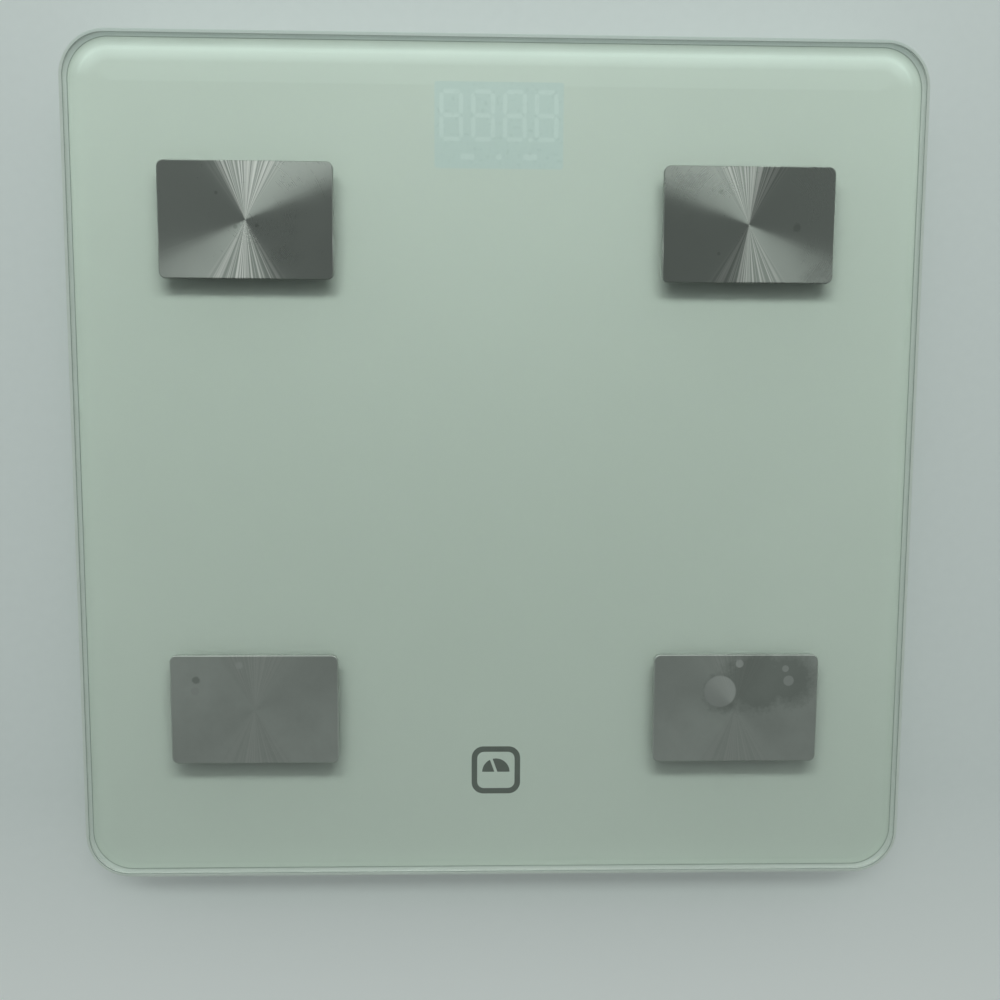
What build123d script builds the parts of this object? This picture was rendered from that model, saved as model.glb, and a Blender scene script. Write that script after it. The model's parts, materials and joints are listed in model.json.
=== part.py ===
from build123d import *
import os

# A glass-topped digital bathroom scale with four stainless steel electrodes.
# Millimetres. +Z is up, +X is right, and +Y points from the user's heels to the display.
# The origin is on the ground, under the middle of the platform, with the feet at Z = 0.

# ---- driving dimensions -------------------------------------------------------------
PLATE_SIDE = 260.0            # square glass platform
PLATE_CORNER = 14.0
GLASS_THICKNESS = 6.0
GLASS_EDGE_ROUND = 1.4        # polished round along both rims of the glass

ELECTRODE_WIDTH = 52.0
ELECTRODE_DEPTH = 34.5
ELECTRODE_THICKNESS = 1.2
ELECTRODE_X = 75.5            # centre of each electrode, either side of the middle
ELECTRODE_Y = 74.8

TRAY_SIDE = 250.0             # plastic tray under the glass
TRAY_RIM_SIDE = 256.0
TRAY_CORNER = 9.0
TRAY_BOTTOM = 4.0             # the tray's underside, above the ground
TRAY_FLOOR = 2.0
TRAY_WALL = 2.5
TRAY_TOP = 16.6
RIM_THICKNESS = 2.0
RIB_TOP = 13.4
RIB_THICKNESS = 1.4

TAPE_THICKNESS = 0.8
INK_THICKNESS = 0.2

FOOT_OFFSET = 98.0            # centre of each foot, either side of the middle
FOOT_RADIUS = 15.5            # the round part that passes through the tray
FOOT_SEAT_SIDE = 38.0         # the square seat that holds the load cell
FOOT_TRAVEL_GAP = 0.7         # air around the foot in its hole
CELL_SIDE = 34.0
CELL_THICKNESS = 1.2
CELL_LOW = 14.0

DISPLAY_WIDTH = 39.0
DISPLAY_DEPTH = 25.5
DISPLAY_Y = 104.3
DIGIT_WIDTH = 7.2
DIGIT_HEIGHT = 15.2
DIGIT_PITCH = 9.6
DIGIT_COUNT = 4
DIGIT_RISE = 2.9              # digits sit above the middle of the window
POINT_DROP = 7.0              # decimal point, below the middle of the digits
INDICATOR_DROP = 9.2          # row of small indicators, below the middle of the window
INDICATOR_X = 9.5
SEGMENT_STROKE = 1.3
SEGMENT_GAP = 0.3

MARK_Y = -96.5
MARK_SIDE = 15.6
MARK_STROKE = 1.8
MARK_DIAL_RADIUS = 4.4

BOARD_WIDTH = 72.0
BOARD_DEPTH = 50.0
BOARD_Y = 95.0
BOARD_LOW = 9.8
BOARD_THICKNESS = 1.6
BOARD_SCREW_X = 32.0
BOARD_SCREW_Y = 21.0

BUTTON_X = 22.0
BUTTON_Y = 80.0
BUTTON_RADIUS = 4.5
BUTTON_TRAVEL = 0.4

CELL_COUNT = 4                # AAA cells, side by side
AAA_LENGTH = 44.5
AAA_RADIUS = 5.1
AAA_NUB_LENGTH = 0.8
AAA_NUB_RADIUS = 1.9
AAA_PITCH = 10.7
AAA_AXIS_Z = 11.1

BAY_Y = 15.0                  # centre of the battery bay
BAY_HALF_X = 25.0
BAY_HALF_Y = 21.8
BAY_WALL = 1.4
BAY_CEILING_LOW = 16.4
BAY_CEILING_HIGH = 17.2

DOOR_HALF_X = 28.0
DOOR_HALF_Y = 24.2
DOOR_THICKNESS = 1.6
DOOR_GAP = 0.3
LUG_X = 18.0
LUG_HALF_WIDTH = 4.0

LATCH_HALF_WIDTH = 7.0
LATCH_POCKET_HALF_WIDTH = 8.6
LATCH_POCKET_Y = (38.2, 43.6)
NOTCH_Y = (43.6, 51.0)        # finger notch beside the latch
NOTCH_CEILING = (8.8, 10.0)

STUD_RADIUS = 1.5
STUD_HOLE_RADIUS = 3.0
WIRE_RADIUS = 0.5
WIRE_SPACING = 1.2
WIRE_BEND = 10.0
WIRE_DROP_BEND = 2.0
CELL_LEAD_Z = 15.7
ELECTRODE_LEAD_Z = 16.85
BATTERY_LEAD_Z = 14.2

# ---- heights that follow from them --------------------------------------------------
TRAY_INSIDE = TRAY_BOTTOM + TRAY_FLOOR
TAPE_TOP = TRAY_TOP + TAPE_THICKNESS
INK_LOW = TAPE_TOP
GLASS_LOW = INK_LOW + INK_THICKNESS
GLASS_HIGH = GLASS_LOW + GLASS_THICKNESS
ADHESIVE_THICKNESS = 0.2
ELECTRODE_LOW = GLASS_HIGH + ADHESIVE_THICKNESS
CELL_HIGH = CELL_LOW + CELL_THICKNESS
STUD_LOW = RIB_TOP + 0.6
BOARD_HIGH = BOARD_LOW + BOARD_THICKNESS
DOOR_TOP = TRAY_BOTTOM + DOOR_THICKNESS
LEDGE_LOW = DOOR_TOP + DOOR_GAP

CORNERS = {
    "front_left": (-1, -1),
    "front_right": (1, -1),
    "rear_left": (-1, 1),
    "rear_right": (1, 1),
}


# ---- shape helpers ------------------------------------------------------------------
def block(x, y, z):
    """A box from its low and high limits along each axis."""
    size = [high - low for low, high in (x, y, z)]
    middle = [(low + high) / 2 for low, high in (x, y, z)]
    return Pos(*middle) * Box(*size)


def rounded_block(width, depth, corner, low, high, x=0.0, y=0.0):
    """An upright prism with a rounded rectangle as its plan."""
    plan = Pos(x, y, low) * RectangleRounded(width, depth, corner)
    return extrude(plan, amount=high - low)


def disc(radius, low, high, x=0.0, y=0.0):
    return extrude(Pos(x, y, low) * Circle(radius), amount=high - low)


def rounded_frame(outer, inner, outer_corner, inner_corner, low, high):
    """A square ring with rounded corners."""
    ring = RectangleRounded(outer, outer, outer_corner) - RectangleRounded(inner, inner, inner_corner)
    return extrude(Pos(0, 0, low) * ring, amount=high - low)


def group(pieces):
    """Identical or related pieces that share one node as separate solids."""
    return Compound(children=[solid for piece in pieces for solid in piece.solids()])


def wire(points, bends):
    """A round wire along straight runs joined by tangent arcs."""
    path = FilletPolyline(*points, radius=bends)
    start = Plane(origin=path @ 0, z_dir=path % 0)
    return sweep(start * Circle(WIRE_RADIUS), path=path)


def electrode_centre(corner):
    side, end = CORNERS[corner]
    return side * ELECTRODE_X, end * ELECTRODE_Y


def foot_centre(corner):
    side, end = CORNERS[corner]
    return side * FOOT_OFFSET, end * FOOT_OFFSET


# ---- glass platform and what is printed on its back ---------------------------------
def stud_holes(low, high):
    holes = [disc(STUD_HOLE_RADIUS, low, high, *electrode_centre(corner)) for corner in CORNERS]
    return Part() + holes


def glass_platform():
    slab = rounded_block(PLATE_SIDE, PLATE_SIDE, PLATE_CORNER, GLASS_LOW, GLASS_HIGH)
    faces = slab.faces().sort_by(Axis.Z)
    slab = fillet(faces[0].edges() + faces[-1].edges(), GLASS_EDGE_ROUND)
    return slab - stud_holes(GLASS_LOW - 1, GLASS_HIGH + 1)


def segment_bar(length):
    """One pointed bar of a seven-segment digit, lying along X."""
    half = length / 2
    point = SEGMENT_STROKE / 2
    outline = Polyline(
        (-half, 0),
        (-half + point, point),
        (half - point, point),
        (half, 0),
        (half - point, -point),
        (-half + point, -point),
        close=True,
    )
    return make_face(outline)


def digit():
    """The seven bars of one digit, centred on the origin."""
    across = DIGIT_WIDTH - SEGMENT_STROKE
    upright = (DIGIT_HEIGHT - SEGMENT_STROKE) / 2
    bars = [Pos(0, row * upright) * segment_bar(across - 2 * SEGMENT_GAP) for row in (-1, 0, 1)]
    for side in (-1, 1):
        for end in (-1, 1):
            place = Pos(side * across / 2, end * upright / 2) * Rot(0, 0, 90)
            bars.append(place * segment_bar(upright - 2 * SEGMENT_GAP))
    return bars


def display_segments_plan():
    """Every bar and indicator that can light up, in the plane of the print."""
    digits_y = DISPLAY_Y + DIGIT_RISE
    first = -(DIGIT_COUNT - 1) / 2 * DIGIT_PITCH
    shapes = []
    for index in range(DIGIT_COUNT):
        place = Pos(first + index * DIGIT_PITCH, digits_y)
        shapes += [place * bar for bar in digit()]
    shapes.append(Pos(first + 2.5 * DIGIT_PITCH, digits_y - POINT_DROP) * Circle(0.7))
    indicators_y = DISPLAY_Y - INDICATOR_DROP
    for x in (-INDICATOR_X, INDICATOR_X):
        shapes.append(Pos(x, indicators_y) * RectangleRounded(4.2, 1.8, 0.6))
    shapes.append(Pos(0, indicators_y) * Circle(0.9))
    return shapes


def mark_plan():
    """A plain pictogram of a scale: a rounded square with a dial and its pointer."""
    ring = RectangleRounded(MARK_SIDE, MARK_SIDE, 3.8)
    hole = MARK_SIDE - 2 * MARK_STROKE
    ring -= RectangleRounded(hole, hole, 2.2)
    dial_base = Pos(0, -0.6)
    dial = dial_base * Circle(MARK_DIAL_RADIUS)
    dial -= dial_base * Pos(0, -5) * Rectangle(12, 10)
    needle = dial_base * Rot(0, 0, 20) * Pos(0, 2.2) * Rectangle(0.9, 5.4)
    return [Pos(0, MARK_Y) * ring, Pos(0, MARK_Y) * (dial - needle)]


def ink(plan):
    return extrude(Pos(0, 0, INK_LOW) * plan, amount=INK_THICKNESS)


def display_window_plan():
    return Pos(0, DISPLAY_Y) * RectangleRounded(DISPLAY_WIDTH, DISPLAY_DEPTH, 0.8)


def white_back_print():
    side = PLATE_SIDE - 2 * GLASS_EDGE_ROUND
    plan = RectangleRounded(side, side, PLATE_CORNER - GLASS_EDGE_ROUND)
    plan -= display_window_plan()
    for shape in mark_plan():
        plan -= shape
    return ink(plan) - stud_holes(INK_LOW - 1, INK_LOW + 1)


def display_window_film():
    plan = display_window_plan()
    for shape in display_segments_plan():
        plan -= shape
    return ink(plan)


# ---- electrodes ---------------------------------------------------------------------
def electrode(corner):
    """A stainless plate with a threaded stud welded to its back."""
    x, y = electrode_centre(corner)
    high = ELECTRODE_LOW + ELECTRODE_THICKNESS
    plate = rounded_block(ELECTRODE_WIDTH, ELECTRODE_DEPTH, 2.0, ELECTRODE_LOW, high, x, y)
    plate = chamfer(plate.faces().sort_by(Axis.Z)[-1].edges(), 0.25)
    return plate + disc(STUD_RADIUS, STUD_LOW, ELECTRODE_LOW, x, y)


def electrode_adhesive(corner):
    x, y = electrode_centre(corner)
    pad = rounded_block(
        ELECTRODE_WIDTH - 2, ELECTRODE_DEPTH - 2, 1.5, GLASS_HIGH, ELECTRODE_LOW, x, y
    )
    return pad - disc(STUD_HOLE_RADIUS, GLASS_HIGH - 1, ELECTRODE_LOW + 1, x, y)


TERMINAL_THICKNESS = 0.5
TERMINAL_NECK = 7.0           # from the stud to the end of the crimped barrel
TERMINAL_RADIUS = 3.0
NUT_HEIGHT = 2.4
NUT_RADIUS = 3.1


def ring_terminal(corner):
    """A solderless ring under the nut, with its crimp towards the middle of the scale."""
    x, y = electrode_centre(corner)
    inward = -CORNERS[corner][0]
    neck_low = INK_LOW - 1.1
    neck = sorted((x + inward * 2.6, x + inward * TERMINAL_NECK))
    tag = disc(TERMINAL_RADIUS, INK_LOW - TERMINAL_THICKNESS, INK_LOW, x, y)
    tag += block(neck, (y - 0.8, y + 0.8), (INK_LOW - TERMINAL_THICKNESS, INK_LOW))
    crimp = sorted((x + inward * 4.0, x + inward * TERMINAL_NECK))
    tag += block(crimp, (y - 1.1, y + 1.1), (neck_low, INK_LOW))
    return tag - disc(STUD_RADIUS + 0.1, INK_LOW - 2, INK_LOW + 1, x, y)


def electrode_nut(corner):
    x, y = electrode_centre(corner)
    high = INK_LOW - TERMINAL_THICKNESS
    hexagon = extrude(Pos(x, y, high - NUT_HEIGHT) * RegularPolygon(NUT_RADIUS, 6), amount=NUT_HEIGHT)
    return hexagon - disc(STUD_RADIUS, high - 3, high + 1, x, y)


# ---- tray ---------------------------------------------------------------------------
def tray_shell():
    shell = rounded_block(TRAY_SIDE, TRAY_SIDE, TRAY_CORNER, TRAY_BOTTOM, TRAY_TOP)
    shell = fillet(shell.faces().sort_by(Axis.Z)[0].edges(), 3.5)
    rim_corner = TRAY_CORNER + (TRAY_RIM_SIDE - TRAY_SIDE) / 2
    shell += rounded_block(TRAY_RIM_SIDE, TRAY_RIM_SIDE, rim_corner, TRAY_TOP - RIM_THICKNESS, TRAY_TOP)
    inside = TRAY_SIDE - 2 * TRAY_WALL
    return shell - rounded_block(inside, inside, TRAY_CORNER - TRAY_WALL, TRAY_INSIDE, TRAY_TOP + 1)


def tray_ribs():
    half = TRAY_SIDE / 2 - TRAY_WALL + 0.5
    foot_edge = FOOT_OFFSET - FOOT_SEAT_SIDE / 2 - 1.2
    thick = RIB_THICKNESS / 2
    z = (TRAY_INSIDE - 0.1, RIB_TOP)
    ribs = [block((x - thick, x + thick), (-half, half), z) for x in (-50, 50)]
    ribs += [block((-half, half), (y - thick, y + thick), z) for y in (-44, 58)]
    ribs.append(block((-foot_edge, foot_edge), (-84 - thick, -84 + thick), z))
    return Part() + ribs


def foot_well(corner):
    """The walls that guide one foot's square seat, and the raised ring under the tray."""
    x, y = foot_centre(corner)
    inner = FOOT_SEAT_SIDE + 1.2
    outer = inner + 2.4
    walls = rounded_block(outer, outer, 6.6, TRAY_INSIDE - 0.1, 12.0, x, y)
    walls -= rounded_block(inner, inner, 5.4, TRAY_INSIDE - 1, 13.0, x, y)
    ring = disc(FOOT_RADIUS + 3.2, TRAY_BOTTOM - 0.6, TRAY_BOTTOM + 0.1, x, y)
    return walls + ring


def board_posts():
    posts = Part()
    for side in (-1, 1):
        for end in (-1, 1):
            x = side * BOARD_SCREW_X
            y = BOARD_Y + end * BOARD_SCREW_Y
            posts += disc(2.8, TRAY_INSIDE - 0.1, BOARD_LOW, x, y)
    return posts


def board_post_holes():
    holes = Part()
    for side in (-1, 1):
        for end in (-1, 1):
            x = side * BOARD_SCREW_X
            y = BOARD_Y + end * BOARD_SCREW_Y
            holes += disc(SCREW_RADIUS, TRAY_INSIDE, BOARD_LOW + 1, x, y)
    return holes


def battery_bay():
    """Walls and ceiling round the cells, the ledge that the door closes on, and the latch pocket."""
    outer_x = BAY_HALF_X + BAY_WALL
    outer_y = BAY_HALF_Y + BAY_WALL
    y_low = BAY_Y - outer_y
    y_high = BAY_Y + outer_y
    box = block((-outer_x, outer_x), (y_low, y_high), (LEDGE_LOW, BAY_CEILING_HIGH))
    ledge_x = DOOR_HALF_X + 3
    ledge_y = DOOR_HALF_Y + 3
    box += block((-ledge_x, ledge_x), (BAY_Y - ledge_y, BAY_Y + ledge_y), (LEDGE_LOW, LEDGE_LOW + 1.4))
    pocket_x = LATCH_POCKET_HALF_WIDTH + BAY_WALL
    box += block((-pocket_x, pocket_x), (y_high - 1, NOTCH_Y[1] + BAY_WALL), (LEDGE_LOW, 15.2))
    return box


def battery_bay_space():
    """The hollows that are cut out of the bay: cells, door, hinge lugs, latch and finger notch."""
    inner_y = (BAY_Y - BAY_HALF_Y, BAY_Y + BAY_HALF_Y)
    space = block((-BAY_HALF_X, BAY_HALF_X), inner_y, (TRAY_BOTTOM - 1, BAY_CEILING_LOW))
    opening_x = DOOR_HALF_X + DOOR_GAP
    opening_y = DOOR_HALF_Y + DOOR_GAP
    y_low = BAY_Y - opening_y
    door = block((-opening_x, opening_x), (y_low, BAY_Y + opening_y), (TRAY_BOTTOM - 1, LEDGE_LOW))
    space += door
    for x in (-LUG_X, LUG_X):
        half = LUG_HALF_WIDTH + DOOR_GAP
        space += block((x - half, x + half), (y_low - 3, inner_y[0] + 0.1), (TRAY_INSIDE, 9.0))
        space += block((x - half, x + half), (y_low, inner_y[0] + 0.1), (TRAY_BOTTOM - 1, 9.0))
    pocket = (-LATCH_POCKET_HALF_WIDTH, LATCH_POCKET_HALF_WIDTH)
    space += block(pocket, LATCH_POCKET_Y, (TRAY_BOTTOM - 1, 14.0))
    space += block(pocket, (LATCH_POCKET_Y[1] - 0.1, LATCH_POCKET_Y[1] + 1.6), (NOTCH_CEILING[1], 14.0))
    space += block(pocket, (NOTCH_Y[0] - 0.1, NOTCH_Y[1]), (TRAY_BOTTOM - 1, NOTCH_CEILING[0]))
    return space


CONTACT_TAIL_HALF_WIDTH = 0.8
CONTACT_TAIL_Z = (13.8, 14.6)
CONTACT_TAIL_REACH = 1.4      # how far the solder tail stands out of the bay wall


def cell_y(index):
    """The Y of one AAA cell's axis, counted from the front of the bay."""
    return BAY_Y + (index - (CELL_COUNT - 1) / 2) * AAA_PITCH


def contact_tail(y, grow=0.0):
    """The solder tail of one end contact, through the right-hand bay wall."""
    half = CONTACT_TAIL_HALF_WIDTH + grow
    reach = BAY_HALF_X + BAY_WALL + CONTACT_TAIL_REACH
    z = (CONTACT_TAIL_Z[0] - grow, CONTACT_TAIL_Z[1] + grow)
    return block((BAY_HALF_X - 0.4, reach), (y - half, y + half), z)


LABEL_WIDTH = 58.0
LABEL_DEPTH = 30.0
LABEL_Y = -66.0
LABEL_RECESS = 0.3


def base_tray():
    tray = tray_shell() + tray_ribs() + board_posts() + battery_bay()
    for corner in CORNERS:
        tray += foot_well(corner)
    for corner in CORNERS:
        x, y = foot_centre(corner)
        tray -= disc(FOOT_RADIUS + FOOT_TRAVEL_GAP, TRAY_BOTTOM - 1, TRAY_INSIDE + 1, x, y)
    tray -= battery_bay_space()
    tray -= board_post_holes()
    tray -= disc(BUTTON_RADIUS + 0.3, TRAY_BOTTOM - 1, TRAY_INSIDE + 1, BUTTON_X, BUTTON_Y)
    for index in (0, CELL_COUNT - 1):
        tray -= contact_tail(cell_y(index), grow=0.1)
    recess_top = TRAY_BOTTOM + LABEL_RECESS
    tray -= rounded_block(LABEL_WIDTH, LABEL_DEPTH, 2.0, TRAY_BOTTOM - 1, recess_top, 0, LABEL_Y)
    return tray


def rating_label():
    """A blank foil label, stuck in its recess under the tray."""
    high = TRAY_BOTTOM + LABEL_RECESS
    return rounded_block(LABEL_WIDTH - 1, LABEL_DEPTH - 1, 1.6, high - 0.15, high, 0, LABEL_Y)


def perimeter_bond_tape():
    outer_corner = TRAY_CORNER + 2.0
    inner_corner = TRAY_CORNER - 1.5
    return rounded_frame(TRAY_RIM_SIDE - 2, TRAY_SIDE - 3, outer_corner, inner_corner, TRAY_TOP, TAPE_TOP)


# ---- feet and load cells ------------------------------------------------------------
FOOT_CUP_LOW = 1.2
PAD_RADIUS = 13.5
PAD_HIGH = 2.4
SEAT_LOW = TRAY_INSIDE + 1.2
SEAT_HIGH = CELL_HIGH
CELL_POCKET_SIDE = CELL_SIDE + 0.4


def foot_cup(corner):
    """A foot that floats in the tray: a round nose below, a square seat for the load cell above."""
    x, y = foot_centre(corner)
    inward = -CORNERS[corner][0]
    cup = disc(FOOT_RADIUS, FOOT_CUP_LOW, SEAT_LOW + 0.1, x, y)
    cup = fillet(cup.faces().sort_by(Axis.Z)[0].edges(), 0.8)
    cup += rounded_block(FOOT_SEAT_SIDE, FOOT_SEAT_SIDE, 5.0, SEAT_LOW, SEAT_HIGH, x, y)
    cup -= rounded_block(CELL_POCKET_SIDE, CELL_POCKET_SIDE, 3.2, CELL_LOW, SEAT_HIGH + 1, x, y)
    cup -= rounded_block(27, 27, 3.0, SEAT_LOW + 1.6, SEAT_HIGH + 1, x, y)
    cup -= disc(PAD_RADIUS, FOOT_CUP_LOW - 1, PAD_HIGH, x, y)
    slot = sorted((x + inward * CELL_SIDE / 2, x + inward * (FOOT_SEAT_SIDE / 2 + 1)))
    return cup - block(slot, (y - 4, y + 4), (12.4, SEAT_HIGH + 1))


def foot_pad(corner):
    """A rubber disc pressed into the foot's recess, with two grip grooves in its face."""
    x, y = foot_centre(corner)
    pad = disc(PAD_RADIUS, 0, PAD_HIGH, x, y)
    pad = fillet(pad.faces().sort_by(Axis.Z)[0].edges(), 0.6)
    for radius in (5.0, 9.0):
        pad -= disc(radius + 0.5, -1, 0.5, x, y) - disc(radius - 0.5, -1, 0.5, x, y)
    return pad


def load_cell(corner):
    """A stamped steel half-bridge cell: an outer frame with a tongue joined along one side."""
    x, y = foot_centre(corner)
    inward = -CORNERS[corner][0]
    plan = RectangleRounded(CELL_SIDE, CELL_SIDE, 3.0)
    tongue_slot = RectangleRounded(24, 24, 2.0) - Pos(1.4, 0) * RectangleRounded(23, 20, 1.5)
    plan -= tongue_slot
    plan -= Pos(8.2, 0) * RectangleRounded(3.0, 8.0, 1.0)
    steel = extrude(Pos(0, 0, CELL_LOW) * plan, amount=CELL_THICKNESS)
    turn = 0 if inward > 0 else 180
    return Pos(x, y, 0) * Rot(0, 0, turn) * steel


def gauge_cover(corner):
    """White silicone over the strain gauges, on the neck of the tongue."""
    x, y = foot_centre(corner)
    inward = -CORNERS[corner][0]
    return rounded_block(5.0, 12.0, 1.6, CELL_HIGH, CELL_HIGH + 1.0, x + inward * 11.0, y)


def load_spacer(corner):
    """The steel block that joins the tongue to the back of the glass."""
    x, y = foot_centre(corner)
    inward = -CORNERS[corner][0]
    return rounded_block(12.0, 14.0, 1.0, CELL_HIGH, INK_LOW, x - inward * 2.0, y)


LEAD_START = FOOT_OFFSET - 13.6
LEAD_LANE_X = 58.0
LEAD_LANE_Y = 84.0
LANDING_X = 34.0
FRONT_LANE_X = 64.0           # the front electrodes' wires run back along these lines
FRONT_LANE_Y = 64.0
FRONT_LANDING = (25.0, 72.6)
THREE_WIRES = (-1, 0, 1)


def load_cell_lead(corner):
    """Three thin wires from one load cell to the edge of the board."""
    side, end = CORNERS[corner]
    wires = []
    for number in THREE_WIRES:
        shift = number * WIRE_SPACING
        y = end * FOOT_OFFSET + shift
        points = [(side * LEAD_START, y, CELL_LEAD_Z)]
        bends = []
        if end < 0:
            lane_x = side * (LEAD_LANE_X + shift)
            points += [(lane_x, y, CELL_LEAD_Z), (lane_x, LEAD_LANE_Y + shift, CELL_LEAD_Z)]
            y = LEAD_LANE_Y + shift
            bends = [WIRE_BEND, WIRE_BEND]
        points += [(side * LANDING_X, y, CELL_LEAD_Z), (side * LANDING_X, y, BOARD_HIGH)]
        wires.append(wire(points, bends + [WIRE_DROP_BEND]))
    return group(wires)


def electrode_lead(corner):
    """One wire from an electrode's ring terminal to the board."""
    side, end = CORNERS[corner]
    y = end * ELECTRODE_Y
    start = (side * (ELECTRODE_X - TERMINAL_NECK), y, ELECTRODE_LEAD_Z)
    if end > 0:
        landing = (side * (LANDING_X - 1), 79.0)
        points = [start, (side * 54, y), (side * 46, landing[1]), landing]
        bends = [WIRE_BEND, WIRE_BEND, WIRE_DROP_BEND]
    else:
        landing = (side * FRONT_LANDING[0], FRONT_LANDING[1])
        points = [start, (side * FRONT_LANE_X, y), (side * FRONT_LANE_X, FRONT_LANE_Y)]
        points += [(landing[0], FRONT_LANE_Y), landing]
        bends = [4.0, WIRE_BEND, 4.0, WIRE_DROP_BEND]
    points = [(*point[:2], ELECTRODE_LEAD_Z) for point in points]
    points.append((*landing, BOARD_HIGH))
    return wire(points, bends)


# ---- display, board and button ------------------------------------------------------
SCREW_RADIUS = 1.0
MODULE_WIDTH = 43.0
MODULE_DEPTH = 29.5
MODULE_HIGH = 17.0
CHIP_SIDE = 10.0
CHIP_CENTRE = (-13.0, 80.0)
RADIO_BOARD = ((7, 19), (74, 88))
RADIO_SHIELD = ((8, 18), (77, 87))
RADIO_BOARD_THICKNESS = 0.8


def led_display_module():
    return rounded_block(MODULE_WIDTH, MODULE_DEPTH, 1.0, BOARD_HIGH, MODULE_HIGH, 0, DISPLAY_Y)


def display_gasket():
    """Foam between the module's face and the glass, round the window."""
    outer = RectangleRounded(MODULE_WIDTH, MODULE_DEPTH, 1.0)
    inner = RectangleRounded(DISPLAY_WIDTH + 1, DISPLAY_DEPTH + 1, 0.8)
    return extrude(Pos(0, DISPLAY_Y, MODULE_HIGH) * (outer - inner), amount=INK_LOW - MODULE_HIGH)


def main_board():
    board = rounded_block(BOARD_WIDTH, BOARD_DEPTH, 2.0, BOARD_LOW, BOARD_HIGH, 0, BOARD_Y)
    for side in (-1, 1):
        for end in (-1, 1):
            x = side * BOARD_SCREW_X
            y = BOARD_Y + end * BOARD_SCREW_Y
            board -= disc(SCREW_RADIUS + 0.15, BOARD_LOW - 1, BOARD_HIGH + 1, x, y)
    return board


def board_screws():
    screws = []
    for side in (-1, 1):
        for end in (-1, 1):
            x = side * BOARD_SCREW_X
            y = BOARD_Y + end * BOARD_SCREW_Y
            head = disc(2.0, BOARD_HIGH, BOARD_HIGH + 1.4, x, y)
            head = fillet(head.faces().sort_by(Axis.Z)[-1].edges(), 0.5)
            head -= block((x - 1.2, x + 1.2), (y - 0.25, y + 0.25), (BOARD_HIGH + 0.7, BOARD_HIGH + 2))
            head -= block((x - 0.25, x + 0.25), (y - 1.2, y + 1.2), (BOARD_HIGH + 0.7, BOARD_HIGH + 2))
            screws.append(head + disc(SCREW_RADIUS - 0.02, TRAY_INSIDE + 0.4, BOARD_HIGH, x, y))
    return group(screws)


def controller_chip():
    return rounded_block(CHIP_SIDE, CHIP_SIDE, 0.4, BOARD_HIGH, BOARD_HIGH + 1.5, *CHIP_CENTRE)


def wireless_module():
    """A small shielded radio board."""
    shield_low = BOARD_HIGH + RADIO_BOARD_THICKNESS
    board = block(*RADIO_BOARD, (BOARD_HIGH, shield_low))
    return board + block(*RADIO_SHIELD, (shield_low, shield_low + 1.6))


SWITCH_LOW = 7.2
PLUNGER_RADIUS = 1.7


def button_switch():
    """The body of the tact switch, soldered under the board."""
    body = block((BUTTON_X - 3, BUTTON_X + 3), (BUTTON_Y - 3, BUTTON_Y + 3), (SWITCH_LOW, BOARD_LOW))
    return body - disc(PLUNGER_RADIUS + 0.1, SWITCH_LOW - 1, SWITCH_LOW + 1.8, BUTTON_X, BUTTON_Y)


def button_switch_plunger():
    return disc(PLUNGER_RADIUS, SWITCH_LOW - 0.5, SWITCH_LOW + 1.2, BUTTON_X, BUTTON_Y)


def unit_button():
    """The push button under the tray, kept in by its flange."""
    cap = disc(BUTTON_RADIUS, TRAY_BOTTOM + 0.2, TRAY_INSIDE + 0.2, BUTTON_X, BUTTON_Y)
    cap = fillet(cap.faces().sort_by(Axis.Z)[0].edges(), 0.5)
    return cap + disc(BUTTON_RADIUS + 1.3, TRAY_INSIDE + 0.1, SWITCH_LOW - 0.5, BUTTON_X, BUTTON_Y)


# ---- battery door, cells and contacts -----------------------------------------------
def battery_door():
    """The cover of the battery bay, with two hinge lugs, grip ribs and a tab for the latch."""
    y_low = BAY_Y - DOOR_HALF_Y
    y_high = BAY_Y + DOOR_HALF_Y
    door = block((-DOOR_HALF_X, DOOR_HALF_X), (y_low, y_high), (TRAY_BOTTOM, DOOR_TOP))
    door += block((-LATCH_HALF_WIDTH, LATCH_HALF_WIDTH), (y_high - 1, 40.2), (TRAY_BOTTOM, DOOR_TOP))
    for x in (-LUG_X, LUG_X):
        lug_x = (x - LUG_HALF_WIDTH, x + LUG_HALF_WIDTH)
        door += block(lug_x, (y_low, y_low + 1.5), (DOOR_TOP - 0.1, 7.5))
        door += block(lug_x, (y_low - 2.8, y_low + 1.5), (6.3, 7.5))
    for row in range(5):
        y = y_high - 6 - 2.4 * row
        door -= block((-9, 9), (y - 0.5, y + 0.5), (TRAY_BOTTOM - 1, TRAY_BOTTOM + 0.4))
    return door


LATCH_THICKNESS = 1.1
LATCH_INNER_Y = 39.0
LATCH_OUTER_Y = 42.1
LATCH_TOP = 13.4


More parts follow.
